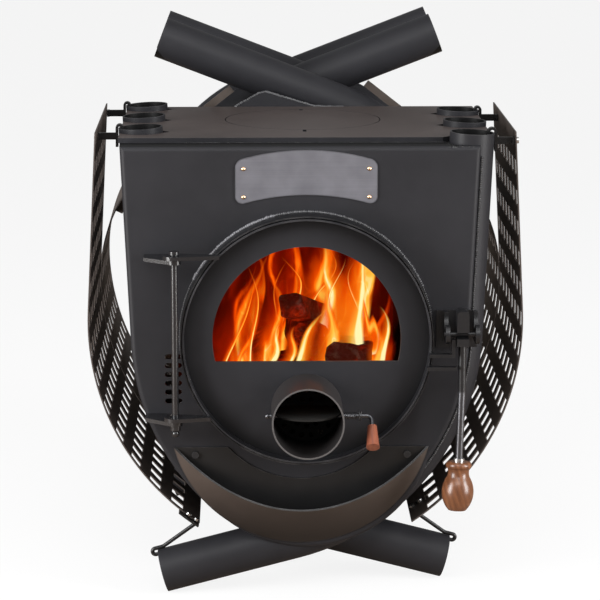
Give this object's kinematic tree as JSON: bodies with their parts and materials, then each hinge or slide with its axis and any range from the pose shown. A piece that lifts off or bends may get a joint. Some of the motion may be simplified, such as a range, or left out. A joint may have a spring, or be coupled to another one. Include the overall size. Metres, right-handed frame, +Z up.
{
  "type": "wood stove",
  "caption": "Hot air wood stove of bent air tubes round a fire box, with a round glazed door, air flap, latch, cooking lid and perforated side guards.",
  "frame": {"origin": "middle of the stove's bounding box on the floor", "axes": "+Z up, -Y towards the door, +X to the right of someone who faces the door"},
  "size_m": [0.692, 0.9248, 0.8854],
  "materials": {
    "anthracite_paint": "matt",
    "warm_grey_paint": "matt",
    "ceramic_glass": "clear",
    "rope_gasket": "woven",
    "red_wood": "satin",
    "brown_wood": "satin",
    "plate_steel": "brushed",
    "brass_rivets": "polished",
    "bare_steel": "satin"
  },
  "bodies": {
    "stove": {"ash_lip": "warm_grey_paint", "ash_lip_bolts": "bare_steel", "back_plate": "anthracite_paint", "baffle_plate": "anthracite_paint", "door_frame_ring": "anthracite_paint", "flue_collar": "anthracite_paint", "front_guard_left": "warm_grey_paint", "front_guard_right": "warm_grey_paint", "front_plate": "anthracite_paint", "guard_bolts": "bare_steel", "guard_brackets_left": "anthracite_paint", "guard_brackets_right": "anthracite_paint", "hinge_frame_lugs": "anthracite_paint", "hinge_nut": "bare_steel", "hinge_pin": "bare_steel", "hinge_washers": "bare_steel", "latch_bracket": "anthracite_paint", "latch_pin": "bare_steel", "left_wall_strips": "anthracite_paint", "lid_ledge": "anthracite_paint", "lower_hooks_left": "anthracite_paint", "lower_hooks_right": "anthracite_paint", "name_plate": "plate_steel", "name_plate_rivets": "brass_rivets", "rear_guard_left": "warm_grey_paint", "rear_guard_right": "warm_grey_paint", "rear_guard_straps": "anthracite_paint", "right_wall_strips": "anthracite_paint", "step_plates": "anthracite_paint", "top_plate": "warm_grey_paint", "tube_left_1": "anthracite_paint", "tube_left_2": "anthracite_paint", "tube_left_3": "anthracite_paint", "tube_left_4": "anthracite_paint", "tube_left_5": "anthracite_paint", "tube_right_1": "anthracite_paint", "tube_right_2": "anthracite_paint", "tube_right_3": "anthracite_paint", "tube_right_4": "anthracite_paint", "tube_right_5": "anthracite_paint"},
    "door": {"door_rim": "anthracite_paint", "door_plate": "anthracite_paint", "window_glass": "ceramic_glass", "glass_clips": "anthracite_paint", "glass_clip_screws": "bare_steel", "door_gasket": "rope_gasket", "hinge_door_lugs": "anthracite_paint", "air_inlet_pipe": "anthracite_paint", "spark_screen": "bare_steel", "door_keeper": "anthracite_paint"},
    "damper": {"damper_flap": "anthracite_paint", "damper_shaft": "anthracite_paint", "damper_spring": "bare_steel", "damper_washer": "bare_steel", "damper_handle": "red_wood"},
    "latch": {"latch_lever": "anthracite_paint", "latch_ferrule": "bare_steel", "latch_knob": "brown_wood"},
    "lid": {"lid": "warm_grey_paint"}
  },
  "joints": [
    {"name": "door_hinge", "type": "hinge", "parent": "stove", "child": "door", "pos_m": [-0.2055, -0.38735, 0.4286], "axis": [0, 0, -1], "range_deg": [0, 110]},
    {"name": "damper_turn", "type": "hinge", "parent": "door", "child": "damper", "pos_m": [0, -0.40835, 0.318], "axis": [-1, 0, 0], "range_deg": [0, 90]},
    {"name": "latch_swing", "type": "hinge", "parent": "stove", "child": "latch", "pos_m": [0.242, -0.38135, 0.441], "axis": [-1, 0, 0], "range_deg": [0, 95]},
    {"name": "lid_lift", "type": "slide", "parent": "stove", "child": "lid", "axis": [0, 0, 1], "range_m": [0, 0.15]}
  ]
}
